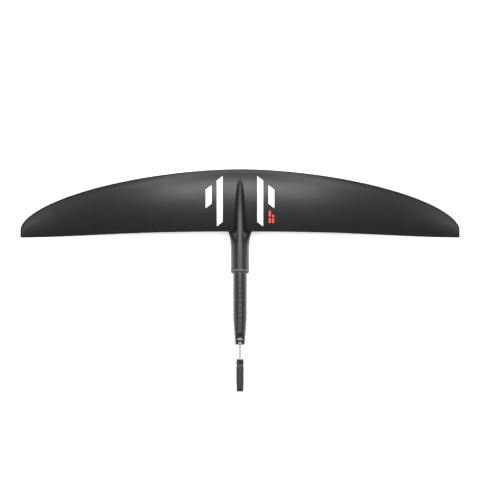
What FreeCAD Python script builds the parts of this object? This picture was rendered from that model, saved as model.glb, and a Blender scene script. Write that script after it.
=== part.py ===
import FreeCAD, Part
import math
import os

import Sketcher

# Front wing of a hydrofoil, with its fuselage stub, its socket tenon and the wire rope that draws it
# into the mast's fuselage.
# Frame, in millimetres: +X to starboard, +Y forward, +Z up. The origin is on the tenon's axis, at
# the plane of the fuselage stub's rear end.

doc = FreeCAD.newDocument("FrontWing")
V = FreeCAD.Vector
Y_AXIS_TO_X = FreeCAD.Rotation(V(0, 0, 1), -90)

# ---------------------------------------------------------------------------------------------
# Driving dimensions
# ---------------------------------------------------------------------------------------------

SIZES = {
    # wing planform
    "half_span": 500,
    "stub_length": 91,           # trailing edge ahead of the origin, on the centreline
    "root_chord": 141,
    "tip_chord": 18.4,
    "edge_sweep": 136,           # how far the leading edge falls back from the centre to the tip
    "tip_droop": 61,             # how far the tips hang below the centre
    # wing section
    "nose_height": -10,          # leading edge above the tenon's axis, on the centreline
    "incidence": 3.2,            # nose-up angle of the chord to the tenon's axis, degrees
    "root_thickness_pct": 12,
    "tip_thickness_pct": 10,
    "camber_pct": 3,
    "edge_thickness": 0.9,       # blunt trailing edge
    # wing structure
    "skin_wall": 1.5,
    "nose_wall": 4,
    "tail_wall": 14,
    "solid_tip": 34,             # length of each tip that is solid laminate
    "bond_gap": 0.1,             # adhesive film between the skins and what they hold
    "cap_thickness": 1.6,
    "cap_front_pct": 24,         # spar caps, in per cent of the chord
    "cap_rear_pct": 44,
    "web_front_pct": 33,
    "web_rear_pct": 36,
    "root_block_half": 24,
    # fuselage stub and spine
    "side_wall": 4.7,            # laminate around the tenon: beside, above and below it
    "top_wall": 5.5,
    "bottom_wall": 6.5,
    "stub_waist": -15,
    "waist_rise": 6,             # how far waist and bottom rise under the wing
    "bottom_rise": 10.5,
    "rise_length": 100,
    "flare": 6.8,                # extra half width where the trailing edge runs into the stub
    "flare_length": 44,
    "spine_gap": 12,             # the spine runs out this far behind the leading edge
    "spine_fall": 20,
    "spine_start": 58,
    "spine_wall": 5,
    "spine_core_gap": 22,        # the spine's core ends this far behind the spine's point
    "seat_slope": 12,            # the rear end leans forward at the top, degrees
    "gasket_thickness": 3.2,
    "gasket_inset": 0.4,
    # tenon
    "tenon_half": 15.3,
    "tenon_top": 12.5,
    "tenon_waist": -10,
    "tenon_bottom": -17.5,
    "tenon_length": 164,
    "tenon_gap": 3,              # the tenon's root ends this far behind the trailing edge
    "taper_start": 98,
    "taper_side": 4.8,
    "taper_height": 1.5,
    "rib_count": 9,
    "rib_pitch": 11.2,
    "rib_first": 22,
    "rib_width": 5,
    "rib_length": 6.4,
    "rib_rise": 0.35,
    "dowel_radius": 3,
    "dowel_bite": 1.7,           # how far each dowel end reaches past the tenon's side
    "dowel_front": 66,
    "dowel_rear": 26,
    # fork and its pin
    "slot_width": 13.5,
    "slot_end": 138,
    "pin_place": 152,
    "pin_radius": 2.5,
    "pin_chamfer": 0.4,
    "plug_length": 1.4,
    "plug_sink": 1.68,           # the plugs' faces lie this deep in the fork's sides
    "plug_radius": 3.2,
    "running_gap": 0.05,
    # rope terminal
    "terminal_width": 8.3,
    "eye_radius": 6,
    "bush_wall": 0.8,
    "shank_radius": 3.6,
    "shank_length": 12,          # from the pin to the end of the fork
    "shank_chamfer": 1,
    "rope_grip": 6,
    # rope, barrel and anchor
    "rope_radius": 1.6,
    "anchor_start": 195,
    "anchor_length": 74,
    "anchor_radius": 8.75,
    "nose_taper": 1.45,          # how much smaller the anchor's nose and tail are in radius
    "tail_taper": 0.85,
    "nose_chamfer": 0.8,
    "tail_chamfer": 1,
    "anchor_shoulder": 6,
    "tail_slope": 1,             # length of the slope between the barrel of the anchor and its tail
    "barrel_depth": 16,          # from the anchor's nose to its cross barrel
    "barrel_radius": 3.6,
    "barrel_length": 13,
    "rope_slot_width": 4,
    "mouth_width": 9,
    "mouth_depth": 4,
    "flat_depth": 0.4,
    "flat_length": 15,
    "insert_radius": 5.2,
    "insert_length": 22,
    "thread_radius": 3.35,
    "bolt_room": 10,             # clear bore ahead of the threaded insert
    "bolt_clearance": 0.4,
}

sheet = doc.addObject("Spreadsheet::Sheet", "Sizes")
for row, (name, number) in enumerate(SIZES.items(), start=1):
    sheet.set(f"A{row}", name)
    sheet.set(f"B{row}", str(number))
    sheet.setAlias(f"B{row}", name)
doc.recompute()


def size(name):
    """The number in the sheet's cell of this name."""
    return float(sheet.get(name))


def bind(item, properties):
    """Bind properties of an object to expressions; a bare word of SIZES is written Sizes.word."""
    for name, expression in properties.items():
        item.setExpression(name, expression)


# Places and sizes that follow from the driving ones, as expressions for the bound objects
FORK_TAPER_POWER = 1.4
TAPER_SHARE = "((Sizes.pin_place - Sizes.taper_start) / (Sizes.tenon_length - Sizes.taper_start))"
FORK_HALF = f"(Sizes.tenon_half - Sizes.taper_side * {TAPER_SHARE} ^ {FORK_TAPER_POWER})"
PIN_HALF = f"({FORK_HALF} - Sizes.plug_length - Sizes.plug_sink)"
TERMINAL_END = "(Sizes.pin_place + Sizes.shank_length)"
BARREL_PLACE = "(Sizes.anchor_start + Sizes.barrel_depth)"
TAIL_RADIUS = "(Sizes.anchor_radius - Sizes.tail_taper)"
NOSE_RADIUS = "(Sizes.anchor_radius - Sizes.nose_taper)"

# The same for the lofts, as numbers
NOSE_REACH = size("stub_length") + size("root_chord")
SPINE_REACH = NOSE_REACH - size("spine_gap")
TENON_ROOT = size("stub_length") - size("tenon_gap")
STUB_HALF = size("tenon_half") + size("side_wall")
STUB_TOP = size("tenon_top") + size("top_wall")
STUB_BOTTOM = size("tenon_bottom") - size("bottom_wall")

# ---------------------------------------------------------------------------------------------
# Helpers for bodies, sketches and solids
# ---------------------------------------------------------------------------------------------

def origin_plane(body, role):
    return next(item for item in body.Origin.OriginFeatures if item.Role == role)


def new_body(label):
    body = doc.addObject("PartDesign::Body", label)
    body.Label = label
    return body


def new_sketch(body, name, role):
    sketch = body.newObject("Sketcher::SketchObject", name)
    sketch.AttachmentSupport = [(origin_plane(body, role), "")]
    sketch.MapMode = "FlatFace"
    return sketch


def place_vertex(sketch, line, x, y):
    """Fix the start of a line at two expressions; zero puts it on the axis."""
    for text, kind, axis in ((x, "DistanceX", -2), (y, "DistanceY", -1)):
        if text == "0":
            sketch.addConstraint(Sketcher.Constraint("PointOnObject", line, 1, axis))
            continue
        number = float(sheet.evalExpression(text))
        index = sketch.addConstraint(Sketcher.Constraint(kind, -1, 1, line, 1, number))
        sketch.setExpression(f"Constraints[{index}]", text)


def closed_outline(body, name, role, corners):
    """A sketch of straight edges whose corners are pairs of expressions."""
    sketch = new_sketch(body, name, role)
    points = [V(*(float(sheet.evalExpression(text)) for text in corner), 0) for corner in corners]
    count = len(points)
    for i in range(count):
        sketch.addGeometry(Part.LineSegment(points[i], points[(i + 1) % count]))
    for i in range(count):
        sketch.addConstraint(Sketcher.Constraint("Coincident", i, 2, (i + 1) % count, 1))
    for i, corner in enumerate(corners):
        place_vertex(sketch, i, *corner)
    return sketch


def circle_sketch(body, name, role, radius, along="0"):
    """A circle on the sketch's vertical axis, at the height given as an expression."""
    sketch = new_sketch(body, name, role)
    height = float(sheet.evalExpression(along))
    number = float(sheet.evalExpression(radius))
    sketch.addGeometry(Part.Circle(V(0, height, 0), V(0, 0, 1), number))
    sketch.addConstraint(Sketcher.Constraint("PointOnObject", 0, 3, -2))
    if along == "0":
        sketch.addConstraint(Sketcher.Constraint("PointOnObject", 0, 3, -1))
    else:
        index = sketch.addConstraint(Sketcher.Constraint("DistanceY", -1, 1, 0, 3, height))
        sketch.setExpression(f"Constraints[{index}]", along)
    index = sketch.addConstraint(Sketcher.Constraint("Radius", 0, number))
    sketch.setExpression(f"Constraints[{index}]", radius)
    return sketch


def revolve(body, name, corners):
    """Turn an outline (radius, distance along the axis) about the body's own Y axis."""
    feature = body.newObject("PartDesign::Revolution", name)
    feature.Profile = closed_outline(body, name + "Outline", "XY_Plane", corners)
    feature.ReferenceAxis = (feature.Profile[0], ["V_Axis"])
    feature.Angle = 360
    return feature


LEAST_CUT = 0.5                  # cubic millimetres that a cut takes away at the very least


def cut_feature(body, kind, name, sketch, **settings):
    """Add a Pocket or Groove and make sure that it took something away."""
    doc.recompute()
    before = body.Shape.Volume
    feature = body.newObject(f"PartDesign::{kind}", name)
    feature.Profile = sketch
    for setting, choice in settings.items():
        setattr(feature, setting, choice)
    doc.recompute()
    if body.Shape.Volume > before - LEAST_CUT:
        raise RuntimeError(f"{name} cuts nothing")
    return feature


def pocket(body, name, sketch):
    """Cut a sketch through the body, both ways from its plane."""
    return cut_feature(body, "Pocket", name, sketch, SideType="Symmetric", Type="ThroughAll")


def groove(body, name, corners):
    """Turn an outline (radius, distance along the axis) out of the body, about its own Y axis."""
    sketch = closed_outline(body, name + "Outline", "XY_Plane", corners)
    return cut_feature(body, "Groove", name, sketch, ReferenceAxis=(sketch, ["V_Axis"]), Angle=360)


def bored_along(body, name, radius, first, last):
    """A blind bore along the body's own Y axis."""
    return groove(body, name, [("0", first), (radius, first), (radius, last), ("0", last)])


def solid_node(label, shape):
    """A sub-part whose shape is worked out from the sheet's sizes."""
    node = doc.addObject("Part::Feature", label)
    node.Label = label
    node.Shape = shape
    node.Placement = FreeCAD.Placement()
    return node


def cross_cylinder(name, radius, half_length, ahead, middle="0"):
    """A cylinder along X, at a distance ahead of the origin, its middle on the tenon's axis or beside it."""
    item = doc.addObject("Part::Cylinder", name)
    bind(item, {
        "Radius": radius,
        "Height": f"2 * {half_length}",
        "Placement.Base.x": f"{middle} - {half_length}",
        "Placement.Base.y": ahead,
    })
    item.Placement.Rotation = FreeCAD.Rotation(V(0, 1, 0), 90)
    return item


def box(x_low, x_high, y_low, y_high, z_low, z_high):
    corner = V(x_low, y_low, z_low)
    return Part.makeBox(x_high - x_low, y_high - y_low, z_high - z_low, corner)


# ---------------------------------------------------------------------------------------------
# Wing: planform, section and lofts
# ---------------------------------------------------------------------------------------------

HALF_SPAN = size("half_span")
ROOT_CHORD = size("root_chord")
STATION_COUNT = 12
STATION_BUNCHING = 2.2
LEAST_STATION_GAP = 4
SECTION_POINTS = 13
TIP_STEPS = 6
FAR = 900                        # past every part of the wing

# Powers that give the planform's edges and the droop their curves
LEADING_POWERS = (1.75, 0.57)
TRAILING_POWERS = (2.6, 2)
DROOP_POWERS = (2.64, 2.5)


def falling(u, powers):
    """0 at the centre and 1 at the tip, along a curve of two powers."""
    return 1 - (1 - u ** powers[0]) ** powers[1]


def leading_edge(u):
    """Distance ahead of the origin at the share u of the half span."""
    return NOSE_REACH - size("edge_sweep") * falling(u, LEADING_POWERS)


def trailing_edge(u):
    tip = NOSE_REACH - size("edge_sweep") - size("tip_chord")
    return size("stub_length") - (size("stub_length") - tip) * falling(u, TRAILING_POWERS)


def droop(u):
    return size("tip_droop") * falling(u, DROOP_POWERS)


def half_thickness(u, share):
    """Half the section's thickness at a share of the chord: the four-digit form with a blunt tail."""
    percent = size("root_thickness_pct") * (1 - u) + size("tip_thickness_pct") * u
    full = (leading_edge(u) - trailing_edge(u)) * percent / 100
    form = 0.2969 * math.sqrt(share) - 0.1260 * share - 0.3516 * share ** 2
    form += 0.2843 * share ** 3 - 0.1036 * share ** 4
    return 5 * full * form + size("edge_thickness") / 2 * share


def camber(u, share):
    chord = leading_edge(u) - trailing_edge(u)
    return 4 * size("camber_pct") / 100 * chord * share * (1 - share)


def section_point(x, share, side):
    """A point of the section at x: side is +1 above, -1 below and 0 on the camber line."""
    u = min(abs(x) / HALF_SPAN, 1)
    chord = leading_edge(u) - trailing_edge(u)
    drop = chord * share * math.tan(math.radians(size("incidence")))
    middle = size("nose_height") - droop(u) - drop + camber(u, share)
    return V(x, leading_edge(u) - chord * share, middle + side * half_thickness(u, share))


def chord_shares():
    """Shares of the chord from nose to tail, close together at both ends."""
    return [(1 - math.cos(math.pi * i / (SECTION_POINTS - 1))) / 2 for i in range(SECTION_POINTS)]


def curve_through(points):
    curve = Part.BSplineCurve()
    curve.interpolate(points)
    return curve.toShape()


def outer_section(x):
    """The section's outline at x: over the top, down the blunt edge and back under."""
    top = [section_point(x, share, 1) for share in chord_shares()]
    bottom = [section_point(x, share, -1) for share in chord_shares()]
    edges = [curve_through(top), Part.makeLine(top[-1], bottom[-1]), curve_through(bottom[::-1])]
    return Part.Wire(edges)


def stations(reach):
    """Places along X within a reach of the centre, close together near the tips."""
    shares = [1 - (1 - i / STATION_COUNT) ** STATION_BUNCHING for i in range(STATION_COUNT)]
    places = [HALF_SPAN * share for share in shares]
    right = [x for x in places if x < reach - LEAST_STATION_GAP] + [reach]
    return [-x for x in right[:0:-1]] + right


def wing_loft(reach):
    return Part.makeLoft([outer_section(x) for x in stations(reach)], True, False)


THICKEST = 0.3                   # share of the chord at which the section is thickest
LEAST_INSIDE = 0.33              # least share of the half thickness left inside a wall


def inner_points(x, wall, side):
    """One side of the section moved inwards: thinner, and shorter at the nose and the tail."""
    u = abs(x) / HALF_SPAN
    film = wall - size("skin_wall")
    first = (size("nose_wall") + film) / ROOT_CHORD
    last = 1 - (size("tail_wall") + film) / ROOT_CHORD
    grow = max(1 - wall / half_thickness(u, THICKEST), LEAST_INSIDE) * (last - first)
    points = []
    for share in chord_shares():
        middle = section_point(x, first + (last - first) * share, 0)
        points.append(middle + V(0, 0, side * grow * half_thickness(u, share)))
    return points


def inner_section(x, wall):
    top = inner_points(x, wall, 1)
    bottom = inner_points(x, wall, -1)
    edges = [curve_through(top), Part.makeLine(top[-1], bottom[-1]), curve_through(bottom[::-1])]
    return Part.Wire(edges)


def skin_section(x, side):
    """One skin's outline: its outside, the parting line at the tail and nose, and its inside."""
    outside = [section_point(x, share, side) for share in chord_shares()]
    inside_points = inner_points(x, size("skin_wall"), side)
    other_points = inner_points(x, size("skin_wall"), -side)
    tail = section_point(x, 1, 0)
    joint = (inside_points[-1] + other_points[-1]) * 0.5
    corners = [outside[-1], tail, joint, inside_points[-1]]
    edges = [curve_through(outside)]
    edges += [Part.makeLine(start, end) for start, end in zip(corners, corners[1:])]
    edges.append(curve_through(inside_points[::-1]))
    edges.append(Part.makeLine(inside_points[0], outside[0]))
    return Part.Wire(edges)


def tip_section(x, side):
    """Half of the solid tip's section, down to the camber line."""
    outside = [section_point(x, share, side) for share in chord_shares()]
    middle = [section_point(x, share, 0) for share in chord_shares()]
    edges = [curve_through(outside), Part.makeLine(outside[-1], middle[-1]), curve_through(middle[::-1])]
    return Part.Wire(edges)


def skin(side):
    """A hollow skin with a solid tip at each end."""
    hollow = Part.makeLoft([skin_section(x, side) for x in stations(core_reach)], True, False)
    tips = []
    for hand in (-1, 1):
        shares = [1 - (1 - i / TIP_STEPS) ** 2 for i in range(TIP_STEPS + 1)]
        places = [hand * (core_reach + size("solid_tip") * share) for share in shares]
        tips.append(Part.makeLoft([tip_section(x, side) for x in places], True, False))
    return hollow.fuse(tips)


def inner_loft(reach, wall):
    return Part.makeLoft([inner_section(x, wall) for x in stations(reach)], True, False)


def chord_strip(reach, first_pct, last_pct):
    """An upright slab between two shares of the chord, following the planform."""
    wires = []
    for x in stations(reach):
        u = abs(x) / HALF_SPAN
        chord = leading_edge(u) - trailing_edge(u)
        front = leading_edge(u) - chord * size(first_pct) / 100
        rear = leading_edge(u) - chord * size(last_pct) / 100
        corners = [V(x, front, -FAR), V(x, front, FAR), V(x, rear, FAR), V(x, rear, -FAR)]
        wires.append(Part.makePolygon(corners + corners[:1]))
    return Part.makeLoft(wires, True, False)


core_reach = HALF_SPAN - size("solid_tip")
wing_outer = wing_loft(HALF_SPAN)
film_wall = size("skin_wall") + size("bond_gap")
inside = inner_loft(core_reach - size("bond_gap"), film_wall)
inside_caps = inner_loft(core_reach - size("bond_gap"), film_wall + size("cap_thickness"))

solid_node("wing_upper_skin", skin(1))
solid_node("wing_lower_skin", skin(-1))

cap_strip = chord_strip(core_reach, "cap_front_pct", "cap_rear_pct")
web_strip = chord_strip(core_reach, "web_front_pct", "web_rear_pct")
caps = sorted(inside.cut(inside_caps).common(cap_strip).Solids, key=lambda cap: cap.CenterOfMass.z)
foam = inside.cut(caps).cut(web_strip)
foam_rear, foam_front = sorted(foam.Solids, key=lambda part: part.CenterOfMass.y)

solid_node("spar_cap_lower", caps[0])
solid_node("spar_cap_upper", caps[1])
solid_node("shear_web", inside.cut(caps).common(web_strip))

block_half = size("root_block_half")
SPAN_ZONES = {
    "core_{}_left": (-FAR, -block_half),
    "root_block_{}": (-block_half, block_half),
    "core_{}_right": (block_half, FAR),
}
for place, part in (("front", foam_front), ("rear", foam_rear)):
    for pattern, (x_low, x_high) in SPAN_ZONES.items():
        zone = box(x_low, x_high, -FAR, FAR, -FAR, FAR)
        solid_node(pattern.format(place), part.common(zone))

# ---------------------------------------------------------------------------------------------
# Fuselage stub: egg-shaped sections that grow out of the wing as a pointed spine
# ---------------------------------------------------------------------------------------------

EGG_POINTS = 24


def egg(y, half, top, waist, bottom):
    """A closed egg-shaped outline across the Y axis, widest at its waist."""
    points = []
    for i in range(EGG_POINTS):
        angle = 2 * math.pi * i / EGG_POINTS
        reach = top - waist if math.sin(angle) > 0 else waist - bottom
        points.append(V(half * math.cos(angle), y, waist + reach * math.sin(angle)))
    curve = Part.BSplineCurve()
    curve.interpolate(points, PeriodicFlag=True)
    return Part.Wire([curve.toShape()])


def eased(share):
    """0 to 1 with a level start and end."""
    share = min(max(share, 0), 1)
    return share * share * (3 - 2 * share)


def stub_half(y):
    rear_edge = size("stub_length")
    if y > rear_edge:
        return (STUB_HALF + size("flare")) * math.sqrt(1 - ((y - rear_edge) / (SPINE_REACH - rear_edge)) ** 2)
    start = rear_edge - size("flare_length")
    return STUB_HALF + size("flare") * max((y - start) / size("flare_length"), 0) ** 3


def stub_top(y):
    run = (y - size("spine_start")) / (SPINE_REACH - size("spine_start"))
    return STUB_TOP - size("spine_fall") * max(run, 0) ** 2


def stub_waist(y):
    return size("stub_waist") + size("waist_rise") * eased((y - size("spine_start")) / size("rise_length"))


def stub_bottom(y):
    return STUB_BOTTOM + size("bottom_rise") * eased((y - size("spine_start")) / size("rise_length"))


def stub_loft(first, last, count, wall):
    """The stub's outside, or its inside where a wall is given."""
    wires = []
    for i in range(count):
        y = first + (last - first) * i / (count - 1)
        wires.append(egg(y, stub_half(y) - wall, stub_top(y) - wall, stub_waist(y), stub_bottom(y) + wall))
    return Part.makeLoft(wires, True, False)


def behind_seat(offset):
    """Everything aft of the leaning seat plane, moved forward by an offset."""
    block = box(-FAR, FAR, -FAR, 0, -FAR, FAR)
    block.rotate(V(0, 0, 0), V(1, 0, 0), -size("seat_slope"))
    block.translate(V(0, offset, 0))
    return block


def tenon_section(y):
    """The tenon is even up to its taper and narrows to the fork."""
    run = max((-y - size("taper_start")) / (size("tenon_length") - size("taper_start")), 0)
    half = size("tenon_half") - size("taper_side") * run ** FORK_TAPER_POWER
    lift = size("taper_height") * run ** FORK_TAPER_POWER
    return egg(y, half, size("tenon_top") - lift, size("tenon_waist"), size("tenon_bottom") + lift)


TAPER_STEPS = 6
STUB_STATIONS = 18
CORE_STATIONS = 10
GASKET_STATIONS = 4
SEAT_ROOM = 12                   # the raw stub and gasket run this far past the seat, both ways
POINT_GAP = 1                    # the spine's last section stands this far short of its point

taper_run = size("tenon_length") - size("taper_start")
taper_places = [-size("taper_start") - taper_run * i / TAPER_STEPS for i in range(TAPER_STEPS + 1)]
straight = Part.makeLoft([tenon_section(TENON_ROOT), tenon_section(taper_places[0])], True, True)
taper = Part.makeLoft([tenon_section(y) for y in taper_places], True, False)

stub_outer = stub_loft(-SEAT_ROOM, SPINE_REACH - POINT_GAP, STUB_STATIONS, 0)
stub_outer = stub_outer.cut(behind_seat(size("gasket_thickness")))
core_end = SPINE_REACH - size("spine_core_gap")
spine_core = stub_loft(size("stub_length") - POINT_GAP, core_end, CORE_STATIONS, size("spine_wall"))
spine_core = spine_core.cut(wing_outer)
solid_node("spine_core", max(spine_core.Solids, key=lambda part: part.CenterOfMass.z))

dowels = doc.addObject("Part::MultiFuse", "tenon_dowels")
dowels.Label = "tenon_dowels"
dowel_half = "(Sizes.tenon_half + Sizes.dowel_bite)"
dowels.Shapes = [cross_cylinder("DowelFront", "Sizes.dowel_radius", dowel_half, "Sizes.dowel_front"),
                 cross_cylinder("DowelRear", "Sizes.dowel_radius", dowel_half, "Sizes.dowel_rear")]
doc.recompute()

stub_shell = stub_outer.cut([straight, doc.getObject("spine_core").Shape, wing_outer, dowels.Shape])
split = size("stub_waist")
above = stub_shell.common(box(-FAR, FAR, -FAR, FAR, split, FAR))
below = stub_shell.common(box(-FAR, FAR, -FAR, FAR, -FAR, split))
solid_node("fuselage_upper_shell", max(above.Solids, key=lambda part: part.Volume))
solid_node("fuselage_lower_shell", max(below.Solids, key=lambda part: part.Volume))

gasket = stub_loft(-SEAT_ROOM, SEAT_ROOM, GASKET_STATIONS, size("gasket_inset")).cut(behind_seat(0))
gasket = gasket.common(behind_seat(size("gasket_thickness"))).cut(straight)
solid_node("end_gasket", gasket)

# ---------------------------------------------------------------------------------------------
# Tenon: forked end, pin bore, counterbores for the plugs, and raised grip pads along the top
# ---------------------------------------------------------------------------------------------

def upright_box(name, wide, length, low, tall, x, y):
    item = doc.addObject("Part::Box", name)
    bind(item, {
        "Length": wide,
        "Width": length,
        "Height": tall,
        "Placement.Base.x": x,
        "Placement.Base.y": y,
        "Placement.Base.z": low,
    })
    return item


def fork_cuts():
    slot_radius = "Sizes.slot_width / 2"
    deep = "Sizes.tenon_length"
    slot = upright_box("ForkSlot", "Sizes.slot_width", "Sizes.tenon_length", f"-{deep}", f"2 * {deep}",
                       f"-{slot_radius}", f"-Sizes.slot_end - {slot_radius} - Sizes.tenon_length")
    slot_end = doc.addObject("Part::Cylinder", "ForkSlotEnd")
    bind(slot_end, {
        "Radius": slot_radius,
        "Height": f"2 * {deep}",
        "Placement.Base.y": f"-Sizes.slot_end - {slot_radius}",
        "Placement.Base.z": f"-{deep}",
    })
    bore = cross_cylinder("PinBore", "Sizes.pin_radius", "Sizes.tenon_half", "-Sizes.pin_place")
    cuts = [slot, slot_end, bore]
    for side in (-1, 1):
        cuts.append(cross_cylinder(f"PlugSink{side + 1}", "Sizes.plug_radius", "Sizes.tenon_half",
                                   "-Sizes.pin_place", f"{side} * ({PIN_HALF} + Sizes.tenon_half)"))
    return cuts + dowels.Shapes


def grip_pads():
    pads = []
    for i in range(int(size("rib_count"))):
        pads.append(upright_box(
            f"GripPad{i}", "Sizes.rib_width", "Sizes.rib_length", "Sizes.tenon_waist",
            "Sizes.tenon_top - Sizes.tenon_waist + Sizes.rib_rise", "-Sizes.rib_width / 2",
            f"-Sizes.rib_first - {i} * Sizes.rib_pitch - Sizes.rib_length / 2",
        ))
    return pads


blank = solid_node("TenonBlank", straight.fuse(taper))
padded = doc.addObject("Part::MultiFuse", "TenonWithPads")
padded.Shapes = [blank] + grip_pads()
cuts = doc.addObject("Part::MultiFuse", "TenonCuts")
cuts.Shapes = fork_cuts()
tenon = doc.addObject("Part::Cut", "tenon")
tenon.Label = "tenon"
tenon.Base = padded
tenon.Tool = cuts

# ---------------------------------------------------------------------------------------------
# Clevis pin, its plugs, and the rope's terminal with its bush
# ---------------------------------------------------------------------------------------------

# These bodies are turned half round, so that their own +Y runs aft.
AFT = FreeCAD.Rotation(V(0, 0, 1), 180)


def place(body, ahead, rotation):
    body.Placement = FreeCAD.Placement(V(0, 0, 0), rotation)
    body.setExpression("Placement.Base.y", ahead)


def padded_circle(body, name, radius, half_length):
    """A round bar along X."""
    feature = body.newObject("PartDesign::Pad", name)
    feature.Profile = circle_sketch(body, name + "Outline", "YZ_Plane", radius)
    feature.SideType = "Symmetric"
    feature.setExpression("Length", f"2 * {half_length}")
    return feature


def bored(body, name, radius):
    """A bore along X through the whole body."""
    return pocket(body, name, circle_sketch(body, name + "Outline", "YZ_Plane", radius))


pin = new_body("clevis_pin")
revolve(pin, "PinTurned", [
    ("0", "0"),
    ("Sizes.pin_radius - Sizes.pin_chamfer", "0"),
    ("Sizes.pin_radius", "Sizes.pin_chamfer"),
    ("Sizes.pin_radius", f"2 * {PIN_HALF} - Sizes.pin_chamfer"),
    ("Sizes.pin_radius - Sizes.pin_chamfer", f"2 * {PIN_HALF}"),
    ("0", f"2 * {PIN_HALF}"),
])
place(pin, "-Sizes.pin_place", Y_AXIS_TO_X)
pin.setExpression("Placement.Base.x", f"-{PIN_HALF}")

plugs = doc.addObject("Part::MultiFuse", "pin_plugs")
plugs.Label = "pin_plugs"
plug_half = "Sizes.plug_length / 2"
plugs.Shapes = [
    cross_cylinder(f"Plug{side + 1}", "Sizes.plug_radius", plug_half, "-Sizes.pin_place",
                   f"{side} * ({PIN_HALF} + {plug_half})")
    for side in (-1, 1)
]

bush_outer = "Sizes.pin_radius + Sizes.running_gap + Sizes.bush_wall"
terminal = new_body("cable_terminal")
padded_circle(terminal, "Eye", "Sizes.eye_radius", "Sizes.terminal_width / 2")
revolve(terminal, "Shank", [
    ("0", "0"),
    ("Sizes.shank_radius", "0"),
    ("Sizes.shank_radius", "Sizes.shank_length - Sizes.shank_chamfer"),
    ("Sizes.shank_radius - Sizes.shank_chamfer", "Sizes.shank_length"),
    ("0", "Sizes.shank_length"),
])
bored(terminal, "BushSeat", bush_outer)
bored_along(terminal, "RopeSeat", "Sizes.rope_radius", "Sizes.shank_length - Sizes.rope_grip",
            "Sizes.shank_length")
place(terminal, "-Sizes.pin_place", AFT)

bush = new_body("terminal_bush")
padded_circle(bush, "BushRound", bush_outer, "Sizes.terminal_width / 2")
bored(bush, "BushBore", "Sizes.pin_radius + Sizes.running_gap")
place(bush, "-Sizes.pin_place", AFT)

# ---------------------------------------------------------------------------------------------
# Wire rope, its cross barrel, and the anchor that the fuselage's draw bolt screws into
# ---------------------------------------------------------------------------------------------

rope = doc.addObject("Part::Cylinder", "wire_rope")
rope.Label = "wire_rope"
rope_start = f"({TERMINAL_END} - Sizes.rope_grip)"
bind(rope, {
    "Radius": "Sizes.rope_radius",
    "Height": f"{BARREL_PLACE} - {rope_start}",
    "Placement.Base.y": f"-{rope_start}",
})
rope.Placement.Rotation = FreeCAD.Rotation(V(1, 0, 0), 90)

barrel = new_body("cable_barrel")
padded_circle(barrel, "BarrelRound", "Sizes.barrel_radius", "Sizes.barrel_length / 2")
bored_along(barrel, "RopeHole", "Sizes.rope_radius", "-Sizes.barrel_radius - 1", "0")
place(barrel, f"-{BARREL_PLACE}", AFT)

# The anchor's own origin is at the barrel's centre.
nose = "-Sizes.barrel_depth"
tail = "(Sizes.anchor_length - Sizes.barrel_depth)"
past = "Sizes.anchor_radius"         # an overshoot for cuts that leave the anchor
anchor = new_body("anchor_body")
revolve(anchor, "AnchorTurned", [
    ("0", nose),
    (f"{NOSE_RADIUS} - Sizes.nose_chamfer", nose),
    (NOSE_RADIUS, f"{nose} + Sizes.nose_chamfer"),
    ("Sizes.anchor_radius", f"{nose} + Sizes.anchor_shoulder"),
    ("Sizes.anchor_radius", f"{tail} - Sizes.flat_length - Sizes.tail_slope"),
    (TAIL_RADIUS, f"{tail} - Sizes.tail_chamfer"),
    (f"{TAIL_RADIUS} - Sizes.tail_chamfer", tail),
    ("0", tail),
])
bored(anchor, "BarrelSeat", "Sizes.barrel_radius + Sizes.running_gap")
rope_slot = closed_outline(anchor, "RopeSlotOutline", "XY_Plane", [
    ("-Sizes.rope_slot_width / 2", f"{nose} - {past}"),
    ("Sizes.rope_slot_width / 2", f"{nose} - {past}"),
    ("Sizes.rope_slot_width / 2", "Sizes.rope_slot_width / 2"),
    ("-Sizes.rope_slot_width / 2", "Sizes.rope_slot_width / 2"),
])
cut_feature(anchor, "Pocket", "RopeSlot", rope_slot, SideType="Two sides", Type="ThroughAll",
            Type2="Length", Length2=size("rope_slot_width") / 2, Reversed=True)
pocket(anchor, "Mouth", closed_outline(anchor, "MouthOutline", "XY_Plane", [
    ("-Sizes.mouth_width / 2", nose),
    ("Sizes.mouth_width / 2", nose),
    ("0", f"{nose} + Sizes.mouth_depth"),
]))
flat_rise = f"({TAIL_RADIUS} - Sizes.flat_depth)"
for side, low, high in (("Top", flat_rise, f"2 * {past}"), ("Bottom", f"-2 * {past}", f"-{flat_rise}")):
    pocket(anchor, f"Flat{side}", closed_outline(anchor, f"Flat{side}Outline", "YZ_Plane", [
        (f"{tail} - Sizes.flat_length", low),
        (f"{tail} + {past}", low),
        (f"{tail} + {past}", high),
        (f"{tail} - Sizes.flat_length", high),
    ]))
bored_along(anchor, "InsertSeat", "Sizes.insert_radius", f"{tail} - Sizes.insert_length", tail)
bored_along(anchor, "BoltRoom", "Sizes.thread_radius + Sizes.bolt_clearance",
            f"{tail} - Sizes.insert_length - Sizes.bolt_room", f"{tail} - Sizes.insert_length")
place(anchor, f"-{BARREL_PLACE}", AFT)

insert = new_body("threaded_insert")
revolve(insert, "InsertTurned", [
    ("Sizes.thread_radius", f"{tail} - Sizes.insert_length"),
    ("Sizes.insert_radius", f"{tail} - Sizes.insert_length"),
    ("Sizes.insert_radius", tail),
    ("Sizes.thread_radius", tail),
])
place(insert, f"-{BARREL_PLACE}", AFT)

# ---------------------------------------------------------------------------------------------
# Check and write
# ---------------------------------------------------------------------------------------------

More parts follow.
